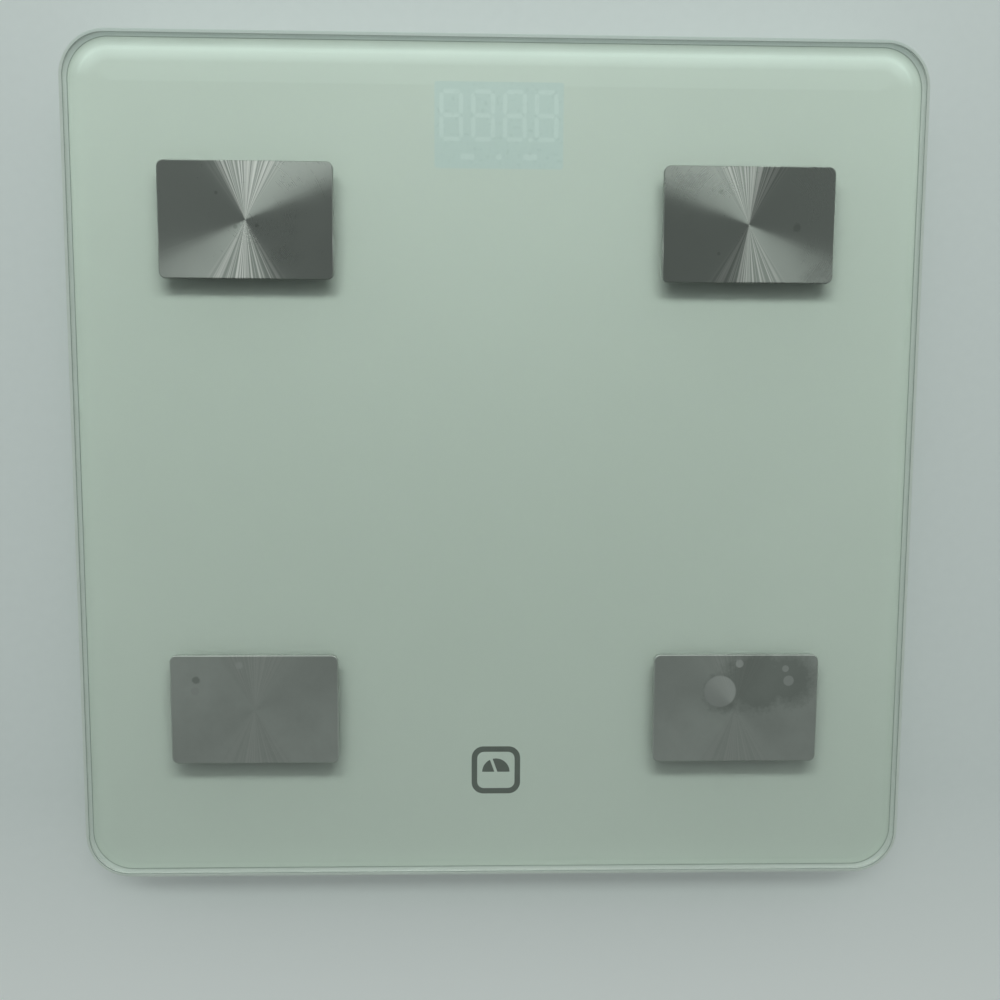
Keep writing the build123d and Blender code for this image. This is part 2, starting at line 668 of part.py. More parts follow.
def battery_door_latch():
    """A springy U that hooks over the ceiling of the finger notch."""
    bend_y = (LATCH_INNER_Y + LATCH_OUTER_Y + LATCH_THICKNESS) / 2
    outer = bend_y - LATCH_INNER_Y
    bend_z = LATCH_TOP - outer
    width = 2 * LATCH_HALF_WIDTH
    bend = Pos(0, bend_y, bend_z) * Rot(0, 90, 0) * (
        Cylinder(outer, width) - Cylinder(outer - LATCH_THICKNESS, width + 1)
    )
    across = (-LATCH_HALF_WIDTH, LATCH_HALF_WIDTH)
    bend &= block(across, (bend_y - 10, bend_y + 10), (bend_z, bend_z + 10))
    latch = bend + block(across, (LATCH_INNER_Y, LATCH_INNER_Y + LATCH_THICKNESS), (DOOR_TOP, bend_z))
    outer_y = (LATCH_OUTER_Y, LATCH_OUTER_Y + LATCH_THICKNESS)
    latch += block(across, outer_y, (TRAY_BOTTOM + 0.2, bend_z))
    hook_z = NOTCH_CEILING[1] + 0.1
    hook = block(across, (LATCH_OUTER_Y + 0.5, LATCH_OUTER_Y + 1.9), (hook_z, hook_z + 1.0))
    lip_y = (LATCH_OUTER_Y - 0.9, LATCH_OUTER_Y + 0.5)
    finger_lip = block(across, lip_y, (TRAY_BOTTOM + 0.2, TRAY_BOTTOM + 1.2))
    return latch + hook + finger_lip


def nub_side(index):
    """+1 where a cell's positive nub faces right, -1 where it faces left."""
    return 1 if index % 2 == 0 else -1


CONTACT_THICKNESS = 0.4


def aaa_cell(index):
    side = nub_side(index)
    tip = BAY_HALF_X - CONTACT_THICKNESS
    shoulder = tip - AAA_NUB_LENGTH
    body_length = AAA_LENGTH - AAA_NUB_LENGTH
    along = Pos(0, cell_y(index), AAA_AXIS_Z) * Rot(0, 90, 0)
    can = Pos(side * (shoulder - body_length / 2), 0, 0) * along * Cylinder(AAA_RADIUS, body_length)
    can = fillet(can.edges().filter_by(GeomType.CIRCLE), 0.5)
    nub = Pos(side * (tip - AAA_NUB_LENGTH / 2), 0, 0) * along * Cylinder(AAA_NUB_RADIUS, AAA_NUB_LENGTH)
    return can + nub


def contact_plate(side, first, last):
    """A flat nickel plate on one end wall, across one or two cells."""
    x = sorted((side * BAY_HALF_X, side * (BAY_HALF_X - CONTACT_THICKNESS)))
    y = (cell_y(first) - 4.0, cell_y(last) + 4.0)
    return block(x, y, (AAA_AXIS_Z - 4.0, AAA_AXIS_Z + 4.0))


def battery_contact_plates():
    last = CELL_COUNT - 1
    plates = [contact_plate(-1, 0, 1), contact_plate(-1, 2, last), contact_plate(1, 1, 2)]
    plates += [contact_plate(1, end, end) + contact_tail(cell_y(end)) for end in (0, last)]
    return group(plates)


def battery_contact_spring(index):
    """A bowed leaf that pushes on a cell's flat end."""
    side = -nub_side(index)
    base = BAY_HALF_X - CONTACT_THICKNESS
    reach = 2 * base - AAA_LENGTH
    half_height = 3.6
    leaf = CONTACT_THICKNESS

    def bow(depth, half):
        curve = ThreePointArc((base, -half), (base - depth, 0), (base, half))
        return make_face(curve + Line((base, half), (base, -half)))

    profile = bow(reach, half_height) - bow(reach - leaf, half_height - leaf)
    plane = Plane(origin=(0, cell_y(index), AAA_AXIS_Z), x_dir=(side, 0, 0), z_dir=(0, -side, 0))
    return extrude(plane * profile, amount=2.5, both=True)


BATTERY_LANDING_Y = 72.6


def battery_lead(lane_x, lane_y, landing_x, index):
    """One wire from an end contact's tail to the front edge of the board."""
    start_x = BAY_HALF_X + BAY_WALL + CONTACT_TAIL_REACH
    y = cell_y(index)
    landing = (landing_x, BATTERY_LANDING_Y)
    route = [(start_x, y), (lane_x, y), (lane_x, lane_y), (landing_x, lane_y), landing]
    points = [(*point, BATTERY_LEAD_Z) for point in route]
    points.append((*landing, BOARD_HIGH))
    return wire(points, [3.0, 5.0, 5.0, 1.4])


# ---- every node of the assembly -----------------------------------------------------
def assembly():
    nodes = {
        "glass_platform": glass_platform(),
        "white_back_print": white_back_print(),
        "display_window_film": display_window_film(),
        "display_segments": group([ink(shape) for shape in display_segments_plan()]),
        "printed_mark": group([ink(shape) for shape in mark_plan()]),
        "perimeter_bond_tape": perimeter_bond_tape(),
        "base_tray": base_tray(),
        "rating_label": rating_label(),
        "main_board": main_board(),
        "board_screws": board_screws(),
        "led_display_module": led_display_module(),
        "display_gasket": display_gasket(),
        "controller_chip": controller_chip(),
        "wireless_module": wireless_module(),
        "button_switch": button_switch(),
        "button_switch_plunger": button_switch_plunger(),
        "unit_button": unit_button(),
        "battery_door": battery_door(),
        "battery_door_latch": battery_door_latch(),
        "battery_contact_plates": battery_contact_plates(),
        "battery_contact_springs": group([battery_contact_spring(i) for i in range(CELL_COUNT)]),
        "battery_lead_positive": battery_lead(35.0, 62.4, 6.0, 0),
        "battery_lead_negative": battery_lead(33.4, 60.8, 4.4, CELL_COUNT - 1),
        "gauge_covers": group([gauge_cover(corner) for corner in CORNERS]),
        "load_spacers": group([load_spacer(corner) for corner in CORNERS]),
        "electrode_nuts": group([electrode_nut(corner) for corner in CORNERS]),
        "electrode_ring_terminals": group([ring_terminal(corner) for corner in CORNERS]),
    }
    for index in range(CELL_COUNT):
        nodes[f"aaa_cell_{index + 1}"] = aaa_cell(index)
    for corner in CORNERS:
        nodes[f"electrode_{corner}"] = electrode(corner)
        nodes[f"electrode_adhesive_{corner}"] = electrode_adhesive(corner)
        nodes[f"electrode_lead_{corner}"] = electrode_lead(corner)
        nodes[f"foot_cup_{corner}"] = foot_cup(corner)
        nodes[f"foot_pad_{corner}"] = foot_pad(corner)
        nodes[f"load_cell_{corner}"] = load_cell(corner)
        nodes[f"load_cell_lead_{corner}"] = load_cell_lead(corner)
    return nodes


os.makedirs("parts", exist_ok=True)
for name, shape in assembly().items():
    export_step(shape, f"parts/{name}.step")
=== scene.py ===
import json
import math

import bpy
from mathutils import Matrix, Vector
from mathutils.geometry import tessellate_polygon


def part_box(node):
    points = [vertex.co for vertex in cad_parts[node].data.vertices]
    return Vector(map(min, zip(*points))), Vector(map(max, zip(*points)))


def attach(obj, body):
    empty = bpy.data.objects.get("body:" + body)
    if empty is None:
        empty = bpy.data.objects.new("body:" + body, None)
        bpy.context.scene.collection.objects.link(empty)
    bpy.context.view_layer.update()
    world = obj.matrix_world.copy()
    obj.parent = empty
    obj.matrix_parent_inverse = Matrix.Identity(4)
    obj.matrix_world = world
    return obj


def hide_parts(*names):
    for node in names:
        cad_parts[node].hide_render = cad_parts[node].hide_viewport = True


# The looks of a glass-topped digital bathroom scale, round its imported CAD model.
# Metres. +Z is up and +Y points to the display end of the platform.

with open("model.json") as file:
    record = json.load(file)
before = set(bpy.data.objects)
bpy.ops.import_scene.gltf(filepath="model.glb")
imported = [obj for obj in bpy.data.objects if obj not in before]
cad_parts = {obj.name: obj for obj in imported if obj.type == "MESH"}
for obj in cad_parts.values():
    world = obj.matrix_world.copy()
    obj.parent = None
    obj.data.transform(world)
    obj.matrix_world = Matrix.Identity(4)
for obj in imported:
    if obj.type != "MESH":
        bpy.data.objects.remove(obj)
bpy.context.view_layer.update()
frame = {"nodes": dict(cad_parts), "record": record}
nodes = frame["nodes"]
slot_of = {part["node"]: part["material_slot"] for part in frame["record"]["subparts"]}

MM = 0.001
GLASS_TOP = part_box("glass_platform")[1].z
PLATE_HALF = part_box("glass_platform")[1].x
PLATE_CORNER = 14.0 * MM
GLASS_EDGE_ROUND = 1.4 * MM
STUD_HOLE_RADIUS = 3.0 * MM
WINDOW_CORNER = 0.8 * MM
MARK_PROUD = 0.01 * MM        # the mark is printed first, so it lies in front of the white
INK_CLEARANCE = 0.02 * MM     # between the glass and what is printed on its underside
ARRIS_WIDTH = 0.18 * MM       # the flat strip where the ground edge meets the polished face, painted as a shade line
CORNERS = ("front_left", "front_right", "rear_left", "rear_right")


# ---- camera --------------------------------------------------------------------------
CAMERA_PLACE = Vector((-0.00756, 0.0209, GLASS_TOP + 0.3059))
CAMERA_AIM = Vector((0.00078, -0.00893, GLASS_TOP))
CAMERA_UP = Vector((-0.0051, 1.0, 0.0))
CAMERA_LENS = 35.80           # millimetres on a 36 mm sensor


def make_camera():
    back = (CAMERA_PLACE - CAMERA_AIM).normalized()
    right = CAMERA_UP.cross(back).normalized()
    up = back.cross(right)
    data = bpy.data.cameras.new("camera")
    data.lens = CAMERA_LENS
    data.sensor_width = 36.0
    data.clip_start = 0.01
    data.clip_end = 20.0
    camera = bpy.data.objects.new("camera", data)
    turn = Matrix((right, up, back)).transposed()
    camera.matrix_world = Matrix.Translation(CAMERA_PLACE) @ turn.to_4x4()
    bpy.context.scene.collection.objects.link(camera)
    bpy.context.scene.camera = camera


# ---- outlines and slabs --------------------------------------------------------------
ARC_STEPS = 24                # points along each rounded corner
EDGE_STEPS = 8                # rings along each rounded edge


def rounded_outline(half_x, half_y, radius, centre=(0.0, 0.0)):
    """The points of a rounded rectangle, and the outward direction at each of them."""
    points = []
    directions = []
    for quarter, (side, end) in enumerate(((1, 1), (-1, 1), (-1, -1), (1, -1))):
        for step in range(ARC_STEPS + 1):
            angle = (quarter + step / ARC_STEPS) * math.pi / 2
            outward = Vector((math.cos(angle), math.sin(angle)))
            x = centre[0] + side * (half_x - radius) + radius * outward.x
            y = centre[1] + end * (half_y - radius) + radius * outward.y
            points.append(Vector((x, y)))
            directions.append(outward)
    return points, directions


def circle_outline(radius, centre, steps=48):
    angles = [2 * math.pi * step / steps for step in range(steps)]
    directions = [Vector((math.cos(angle), math.sin(angle))) for angle in angles]
    points = [Vector(centre) + radius * outward for outward in directions]
    return points, directions


def edge_profile(low, high, radius):
    """How far each ring of a slab's edge is set in, its height, and the tilt of its surface."""
    if not radius:
        return [(0.0, high, 0.0), (0.0, low, 0.0)]
    arris = radius + ARRIS_WIDTH
    tilts = [math.pi / 2 * (1 - step / EDGE_STEPS) for step in range(EDGE_STEPS + 1)]
    upper = [(radius * (1 - math.cos(t)), high - radius * (1 - math.sin(t)), t) for t in tilts]
    lower = [(radius * (1 - math.cos(t)), low + radius * (1 - math.sin(t)), -t) for t in reversed(tilts)]
    return [(arris, high, math.pi / 2)] + upper + lower + [(arris, low, -math.pi / 2)]


def slab(name, half_side, corner, low, high, edge=0.0, holes=()):
    """A flat square plate with rounded corners, rounded edges and holes, with exact surface normals.

    The faces round its edge take its second material, if it has one.
    """
    vertices = []
    faces = []
    normals = []

    def add_ring(points, directions, height, tilt):
        first = len(vertices)
        vertices.extend((point.x, point.y, height) for point in points)
        flat = math.cos(tilt)
        return first, [(d.x * flat, d.y * flat, math.sin(tilt)) for d in directions]

    def join(upper, lower, inward=False):
        (a, a_normals), (b, b_normals) = upper, lower
        count = len(a_normals)
        for index in range(count):
            after = (index + 1) % count
            corners = ((a + index, a_normals[index]), (b + index, b_normals[index]))
            corners += ((b + after, b_normals[after]), (a + after, a_normals[after]))
            if inward:
                corners = tuple((place, tuple(-c for c in normal)) for place, normal in reversed(corners))
            faces.append([place for place, _ in corners])
            normals.extend(normal for _, normal in corners)

    rings = []
    for inset, height, tilt in edge_profile(low, high, edge):
        side = half_side - inset
        rings.append(add_ring(*rounded_outline(side, side, corner - inset), height, tilt))
    for upper, lower in zip(rings, rings[1:]):
        join(upper, lower)
    edge_faces = len(faces)
    walls = []
    for outline in holes:
        walls.append((add_ring(*outline, high, 0.0), add_ring(*outline, low, 0.0)))
        join(*walls[-1], inward=True)
    for up, outer, level in ((1, rings[0], 0), (-1, rings[-1], 1)):
        loops = [outer] + [wall[level] for wall in walls]
        places = [first + index for first, ring_normals in loops for index in range(len(ring_normals))]
        outlines = [[vertices[first + i] for i in range(len(n))] for first, n in loops]
        for triangle in tessellate_polygon([[Vector(v) for v in loop] for loop in outlines]):
            a, b, c = (places[i] for i in triangle)
            start = Vector(vertices[a])
            turn = (Vector(vertices[b]) - start).cross(Vector(vertices[c]) - start)
            faces.append([a, b, c] if turn.z * up > 0 else [a, c, b])
            normals.extend([(0.0, 0.0, float(up))] * 3)

    mesh = bpy.data.meshes.new(name)
    mesh.from_pydata(vertices, [], faces)
    mesh.polygons.foreach_set("use_smooth", [True] * len(faces))
    mesh.polygons.foreach_set("material_index", [index < edge_faces for index in range(len(faces))])
    mesh.normals_split_custom_set(normals)
    piece = bpy.data.objects.new(name, mesh)
    bpy.context.scene.collection.objects.link(piece)
    return piece


# ---- node helpers --------------------------------------------------------------------
class Tree:
    """A material's node tree, with short calls for the nodes that these materials share."""

    def __init__(self, name):
        self.material = bpy.data.materials.new(name)
        self.material.use_nodes = True
        self.tree = self.material.node_tree
        self.tree.nodes.clear()
        self.output = self.tree.nodes.new("ShaderNodeOutputMaterial")
        self.coordinates = self.add("ShaderNodeTexCoord").outputs["Object"]

    def add(self, kind, **settings):
        node = self.tree.nodes.new(kind)
        for key, value in settings.items():
            setattr(node, key, value)
        return node

    def link(self, source, target):
        if hasattr(source, "is_output") or isinstance(source, bpy.types.NodeSocket):
            self.tree.links.new(source, target)
        else:
            target.default_value = source

    def math(self, operation, a, b=0.0, clamp=False):
        node = self.add("ShaderNodeMath", operation=operation, use_clamp=clamp)
        self.link(a, node.inputs[0])
        self.link(b, node.inputs[1])
        return node.outputs[0]

    def vector(self, operation, a, b=(0.0, 0.0, 0.0)):
        node = self.add("ShaderNodeVectorMath", operation=operation)
        self.link(a, node.inputs[0])
        self.link(b, node.inputs[1])
        return node.outputs["Value"] if operation in ("LENGTH", "DOT_PRODUCT") else node.outputs[0]

    def component(self, vector, axis):
        parts = self.add("ShaderNodeSeparateXYZ")
        self.link(vector, parts.inputs[0])
        return parts.outputs[axis]

    def noise(self, scale, detail=3.0, roughness=0.5, vector=None):
        node = self.add("ShaderNodeTexNoise")
        node.inputs["Scale"].default_value = scale
        node.inputs["Detail"].default_value = detail
        node.inputs["Roughness"].default_value = roughness
        self.link(vector or self.coordinates, node.inputs["Vector"])
        return node.outputs["Fac"]

    def remap(self, value, low, high, to_low, to_high):
        node = self.add("ShaderNodeMapRange")
        for index, amount in enumerate((low, high, to_low, to_high)):
            self.link(amount, node.inputs[index + 1])
        self.link(value, node.inputs["Value"])
        return node.outputs["Result"]

    def mix(self, factor, a, b, blend="MIX"):
        node = self.add("ShaderNodeMix", data_type="RGBA", blend_type=blend)
        self.link(factor, node.inputs["Factor"])
        self.link(colour(a), node.inputs[6])
        self.link(colour(b), node.inputs[7])
        return node.outputs[2]

    def bump(self, height, strength, distance):
        node = self.add("ShaderNodeBump")
        node.inputs["Strength"].default_value = strength
        node.inputs["Distance"].default_value = distance
        self.link(height, node.inputs["Height"])
        return node.outputs["Normal"]

    def principled(self, **inputs):
        node = self.add("ShaderNodeBsdfPrincipled")
        for name, value in inputs.items():
            self.link(colour(value), node.inputs[name.replace("_", " ")])
        return node

    def finish(self, shader):
        self.tree.links.new(shader, self.output.inputs["Surface"])
        return self.material


def colour(value):
    """A plain colour as the four numbers that a socket takes."""
    return (*value, 1.0) if isinstance(value, tuple) and len(value) == 3 else value


# ---- materials -----------------------------------------------------------------------
GLOW_START = 1.5 * MM         # where light from the rear edge reaches the print, from the outline
GLOW_PEAK = 4.6 * MM
GLOW_END = 8.5 * MM
WHITE_INK = (0.555, 0.605, 0.555)
WHITE_INK_PAINTED_GLOW = (0.80, 0.87, 0.82)
GLASS_IOR = 1.52
GLASS_TINT = (0.95, 0.975, 0.96)
LAMP_TINT = (0.95, 0.97, 0.955)
GROUND_GLASS = (0.68, 0.74, 0.69)
GROUND_GLASS_REAR_PAINTED_SHADE = (0.60, 0.68, 0.64)
ARRIS_PAINTED_SHADE = (0.16, 0.21, 0.18)
STEEL_CLEAN = (0.40, 0.43, 0.40)
STEEL_PAINTED_HIGHLIGHT = (0.66, 0.67, 0.64)
STEEL_HAZY = (0.345, 0.37, 0.345)
STEEL_WORN = (0.545, 0.585, 0.545)
STEEL_STAIN_AND_PAINTED_SHADE = (0.22, 0.245, 0.22)
STEEL_DRIED = (0.50, 0.52, 0.50)


def let_lamps_through(m, shader):
    """Lamps shine straight through glass on to the print below, which a bare glass shader stops."""
    clear = m.add("ShaderNodeBsdfTransparent")
    clear.inputs["Color"].default_value = colour(LAMP_TINT)
    shadow = m.add("ShaderNodeLightPath").outputs["Is Shadow Ray"]
    mix = m.add("ShaderNodeMixShader")
    m.link(shadow, mix.inputs[0])
    m.link(shader.outputs[0], mix.inputs[1])
    m.link(clear.outputs[0], mix.inputs[2])
    return m.finish(mix.outputs[0])


def clear_glass():
    """Polished float glass with a few smudges."""
    m = Tree("clear_glass")
    smudge = m.noise(24, 4, 0.6)
    roughness = m.remap(smudge, 0.55, 0.85, 0.0, 0.045)
    wave = m.bump(m.noise(9, 1.0), 0.04, 0.0004)
    glass = m.principled(
        Base_Color=GLASS_TINT, Roughness=roughness, IOR=GLASS_IOR, Transmission_Weight=1.0, Normal=wave
    )
    return let_lamps_through(m, glass)


def plate_edge(m):
    """How far a point of the platform is from its outline, and the outward direction there."""
    across = m.vector("ABSOLUTE", m.coordinates)
    beyond = m.vector("SUBTRACT", across, (PLATE_HALF - PLATE_CORNER, PLATE_HALF - PLATE_CORNER, 1.0))
    beyond = m.vector("MAXIMUM", beyond, (0.0, 0.0, 0.0))
    inset = m.math("SUBTRACT", PLATE_CORNER, m.vector("LENGTH", beyond))
    side = m.vector("MULTIPLY", m.vector("NORMALIZE", beyond), m.vector("SIGN", m.coordinates))
    return inset, side


def ground_edge():
    """The glass's ground edge: pale and cloudy, with a painted shade line where it meets the polished face,
    and painted shade along its rear side.
    """
    m = Tree("ground_edge")
    inset, side = plate_edge(m)
    grain = m.noise(1400, 3, 0.6)
    # painted shade: the ground edge is darker along its rear side, which faces the window light
    rear = m.remap(m.component(side, "Y"), 0.3, 1.0, 0.0, 1.0)
    shade = m.mix(rear, GROUND_GLASS, GROUND_GLASS_REAR_PAINTED_SHADE)
    shade = m.mix(m.remap(grain, 0.3, 0.7, 0.0, 0.12), shade, (0.9, 0.95, 0.9))
    # painted shade: a dark line along the arris
    arris = m.remap(inset, GLASS_EDGE_ROUND - 0.5 * ARRIS_WIDTH, GLASS_EDGE_ROUND, 0.0, 0.85)
    shade = m.mix(arris, shade, ARRIS_PAINTED_SHADE)
    rough = m.remap(grain, 0.3, 0.7, 0.32, 0.46)
    glass = m.principled(
        Base_Color=shade,
        Roughness=rough,
        IOR=GLASS_IOR,
        Transmission_Weight=0.3,
        Normal=m.bump(grain, 0.25, 0.00003),
    )
    return let_lamps_through(m, glass)


def printed_ink(name, base, spread=0.03, roughness=0.5):
    """Screen-printed ink with a faint unevenness."""
    m = Tree(name)
    patchy = m.noise(14, 3)
    fine = m.noise(900, 2)
    darker = tuple(c * (1 - spread) for c in base)
    paler = tuple(min(1, c * (1 + spread)) for c in base)
    shade = m.mix(patchy, darker, paler)
    rough = m.remap(fine, 0.3, 0.7, roughness - 0.05, roughness + 0.08)
    shader = m.principled(Base_Color=shade, Roughness=rough, Normal=m.bump(fine, 0.1, 0.00002))
    return m.finish(shader.outputs[0])


def white_print():
    """The white print under the glass, with painted light: paler where the glass's rear edge throws light on
    it.
    """
    m = Tree("white_ink")
    inset, side = plate_edge(m)
    # Painted light, strongest along the rear edge: a pale band, a bright line at its peak and a faint haze
    # further in.
    lit = m.remap(m.component(side, "Y"), 0.1, 0.8, 0.06, 1.0)
    rise = m.remap(inset, GLOW_START, GLOW_PEAK, 0.0, 1.0)
    fall = m.remap(inset, GLOW_PEAK, GLOW_END, 0.8, 0.0)
    line = m.remap(m.math("ABSOLUTE", m.math("SUBTRACT", inset, GLOW_PEAK)), 0.0, 0.7 * MM, 0.25, 0.0)
    haze = m.remap(inset, GLOW_PEAK, 3 * GLOW_END, 0.2, 0.0)
    glow = m.math("ADD", m.math("ADD", fall, line), haze)
    glow = m.math("MULTIPLY", lit, m.math("MULTIPLY", rise, glow), clamp=True)
    patchy = m.noise(14, 3)
    fine = m.noise(900, 2)
    shade = m.mix(patchy, WHITE_INK, tuple(1.03 * c for c in WHITE_INK))
    shade = m.mix(glow, shade, WHITE_INK_PAINTED_GLOW)
    rough = m.remap(fine, 0.3, 0.7, 0.45, 0.58)
    shader = m.principled(Base_Color=shade, Roughness=rough, Normal=m.bump(fine, 0.1, 0.00002))
    return m.finish(shader.outputs[0])


def spots(m, flat, places):
    """A mask of round dried water drops, each given as x, y and radius in millimetres."""
    mask = 0.0
    for x, y, radius in places:
        offset = m.vector("SUBTRACT", flat, (x * MM, y * MM, 0.0))
        distance = m.vector("LENGTH", offset)
        ring = m.remap(distance, radius * MM * 0.93, radius * MM, 1.0, 0.0)
        mask = m.math("MAXIMUM", mask, ring)
    return mask


def damp_patch(m, flat, places, grain, haze):
    """A mask of ragged dark stains, each given as x, y and radius in millimetres."""
    rag = m.math("ADD", m.math("MULTIPLY", grain, 0.6), m.math("MULTIPLY", haze, 1.1))
    rag = m.math("SUBTRACT", rag, 0.8)
    mask = 0.0
    for x, y, radius in places:
        distance = m.vector("LENGTH", m.vector("SUBTRACT", flat, (x * MM, y * MM, 0.0)))
        ragged = m.math("ADD", distance, m.math("MULTIPLY", rag, radius * MM))
        stain = m.remap(ragged, 0.75 * radius * MM, 1.2 * radius * MM, 1.0, 0.0)
        mask = m.math("MAXIMUM", mask, stain)
    return mask


# Dried drops and stains on each electrode, from its own centre: x, y and radius, in millimetres.
DROPS = {
    "front_left": ((-18.4, 6.0, 1.3), (-4.6, 14.2, 1.2)),
    "front_right": ((-5.0, 5.5, 5.2), (1.0, 14.4, 1.3), (16.7, 8.9, 1.7), (15.6, 12.8, 1.1)),
    "rear_left": (),
    "rear_right": (),
}
STAINS = {
    "front_left": ((-18.0, 9.5, 1.2),),
    "front_right": ((6.0, 8.0, 11.0), (-3.0, 5.0, 7.0), (17.0, 9.0, 9.0)),
    "rear_left": ((3.4, -1.6, 0.5), (-8.5, 7.8, 0.6), (-3.0, -2.0, 0.7)),
    "rear_right": ((14.6, -0.8, 1.3), (-8.6, 9.6, 0.7), (-9.0, -8.6, 0.6)),
}


# How far each electrode has dulled towards the colour of its stains.
TARNISH = {"front_left": 0.0, "front_right": 0.05, "rear_left": 0.10, "rear_right": 0.35}


def turned_steel(corner, centre):
    """Stainless steel with a fine grain turned in circles about the plate's own centre."""
    m = Tree(f"electrode_steel_{corner}")
    trodden = corner.startswith("front")      # the heel end is duller, and its grain is worn
    flat = m.vector("MULTIPLY", m.vector("SUBTRACT", m.coordinates, tuple(centre)), (1.0, 1.0, 0.0))
    outward = m.vector("NORMALIZE", flat)
    radius = m.vector("LENGTH", flat)

    # Circular grooves, and a faint relief of rays like the chatter of a polishing wheel. Up and down the
    # plate, where the window light's highlight streak falls, the colour has painted highlight rays with
    # painted shade between them, weaker on the front plates.
    rings = m.add("ShaderNodeCombineXYZ")
    m.link(m.math("MULTIPLY", radius, 5000.0), rings.inputs["X"])
    groove = m.noise(1.0, 2.0, 0.6, rings.outputs[0])
    chatter_and_painted_rays = m.noise(24.0, 1.0, 0.6, outward)
    ray_height = m.math("MULTIPLY", m.math("MULTIPLY", radius, chatter_and_painted_rays), 0.0004)
    ray_normal = m.bump(ray_height, 1.0, 1.0)
    upright = m.math("ABSOLUTE", m.component(outward, "Y"))
    # painted highlight: the up-and-down fan where the window light's streak falls
    highlight_fan = m.remap(upright, 0.80, 0.93, 0.0, 0.3 if trodden else 1.0)
    painted_highlight_ray = m.math("MULTIPLY", highlight_fan, m.remap(chatter_and_painted_rays, 0.42, 0.58, 0.0, 1.0))

    haze = m.noise(60, 5, 0.6)
    speckle = m.noise(900, 3, 0.6)
    drops = spots(m, flat, DROPS[corner])
    stains = damp_patch(m, flat, STAINS[corner], speckle, haze)
    stains = m.math("MULTIPLY", stains, m.math("SUBTRACT", 1.0, drops), clamp=True)

    smooth = 0.33 if trodden else 0.23
    rough = m.remap(groove, 0.3, 0.7, smooth, smooth + 0.05)
    rough = m.math("ADD", rough, m.remap(haze, 0.3, 0.8, 0.0, 0.10))
    rough = m.math("ADD", rough, m.math("MULTIPLY", drops, 0.10), clamp=True)
    clean, hazy = (STEEL_WORN, STEEL_CLEAN) if trodden else (STEEL_CLEAN, STEEL_HAZY)
    shade = m.mix(m.remap(haze, 0.4, 0.8, 0.0, 0.6), clean, hazy)
    # painted shade across that fan, between the painted highlight rays
    shade = m.mix(m.math("MULTIPLY", highlight_fan, 0.6), shade, STEEL_STAIN_AND_PAINTED_SHADE)
    # painted highlight rays
    shade = m.mix(painted_highlight_ray, shade, STEEL_PAINTED_HIGHLIGHT)
    shade = m.mix(TARNISH[corner], shade, STEEL_STAIN_AND_PAINTED_SHADE)
    shade = m.mix(m.math("MULTIPLY", stains, 0.55), shade, STEEL_STAIN_AND_PAINTED_SHADE)
    shade = m.mix(m.math("MULTIPLY", drops, 0.5), shade, STEEL_DRIED)
    shader = m.principled(Base_Color=shade, Metallic=1.0, Roughness=rough, Tangent=outward, Normal=ray_normal)
    shader.inputs["Anisotropic"].default_value = 0.6 if trodden else 1.0
    return m.finish(shader.outputs[0])


def moulded_plastic(name, base, roughness=0.5, grain=700, depth=0.00004):
    """Spark-eroded moulded plastic: a fine even texture, slightly uneven gloss, faint dirt."""
    m = Tree(name)
    texture = m.noise(grain * 2, 3, 0.6)
    blotch = m.noise(18, 4, 0.6)
    shade = m.mix(blotch, tuple(c * 0.96 for c in base), tuple(min(1.0, c * 1.03) for c in base))
    rough = m.remap(blotch, 0.3, 0.7, roughness - 0.06, roughness + 0.08)
    shader = m.principled(Base_Color=shade, Roughness=rough, Normal=m.bump(texture, 0.5, depth))
    return m.finish(shader.outputs[0])


def foot_rubber():
    m = Tree("foot_rubber")
    texture = m.noise(1800, 4, 0.7)
    dust = m.noise(60, 5, 0.7)
    shade = m.mix(m.remap(dust, 0.45, 0.75, 0.0, 0.5), (0.045, 0.047, 0.048), (0.16, 0.16, 0.155))
    rough = m.remap(dust, 0.3, 0.7, 0.62, 0.85)
    shader = m.principled(Base_Color=shade, Roughness=rough, Normal=m.bump(texture, 0.5, 0.00005))
    return m.finish(shader.outputs[0])


def plated_metal(name, base, roughness=0.25):
    m = Tree(name)
    scratch = m.noise(300, 4, 0.7)
    tarnish = m.noise(40, 3)
    shade = m.mix(tarnish, tuple(c * 0.88 for c in base), base)
    rough = m.remap(scratch, 0.3, 0.7, roughness - 0.06, roughness + 0.12)
    relief = m.bump(scratch, 0.2, 0.00002)
    shader = m.principled(Base_Color=shade, Metallic=1.0, Roughness=rough, Normal=relief)
    return m.finish(shader.outputs[0])


